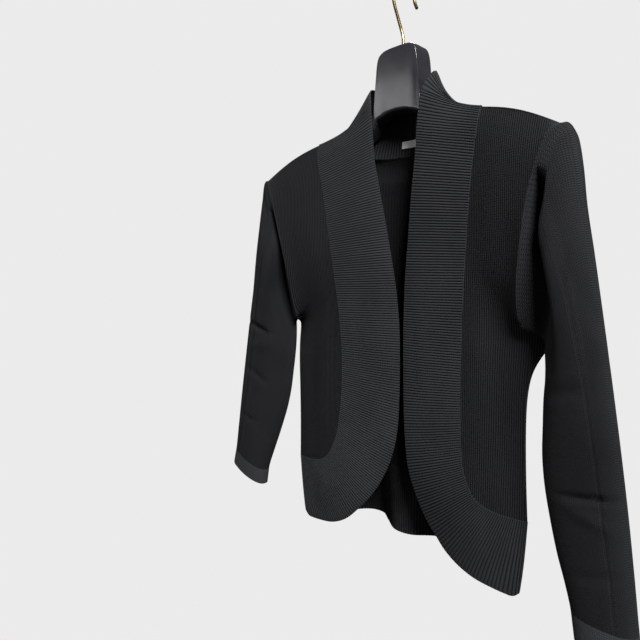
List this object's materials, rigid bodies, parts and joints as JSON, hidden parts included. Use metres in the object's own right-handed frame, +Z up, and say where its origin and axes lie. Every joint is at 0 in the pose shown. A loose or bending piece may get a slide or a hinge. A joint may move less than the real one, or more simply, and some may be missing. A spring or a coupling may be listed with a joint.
{
  "type": "cardigan on hanger",
  "caption": "Open-front rib-knit cardigan with a stand collar and rounded front corners, hanging on a contoured hanger with a wire hook.",
  "frame": {"origin": "inside top of the hook, where a rail carries it", "axes": "+Z up, front facing -Y, +X to the wearer's left"},
  "size_m": [0.554, 0.1096, 0.6632],
  "materials": {
    "knit": "matte fine knit",
    "rib_knit": "matte rib knit",
    "cuff_knit": "smooth matte knit",
    "label_tape": "plain woven tape",
    "hanger_plastic": "glossy",
    "ferrule_plastic": "satin",
    "hook_brass": "polished, darker with age"
  },
  "bodies": {
    "root": {"back": "knit", "band_back_hem": "rib_knit", "band_left": "rib_knit", "band_right": "rib_knit", "cuff_left": "cuff_knit", "cuff_right": "cuff_knit", "front_left": "knit", "front_right": "knit", "hanger_body": "hanger_plastic", "hanger_hook": "hook_brass", "hook_ferrule": "ferrule_plastic", "neck_label": "label_tape", "sleeve_left": "knit", "sleeve_right": "knit"}
  },
  "joints": []
}
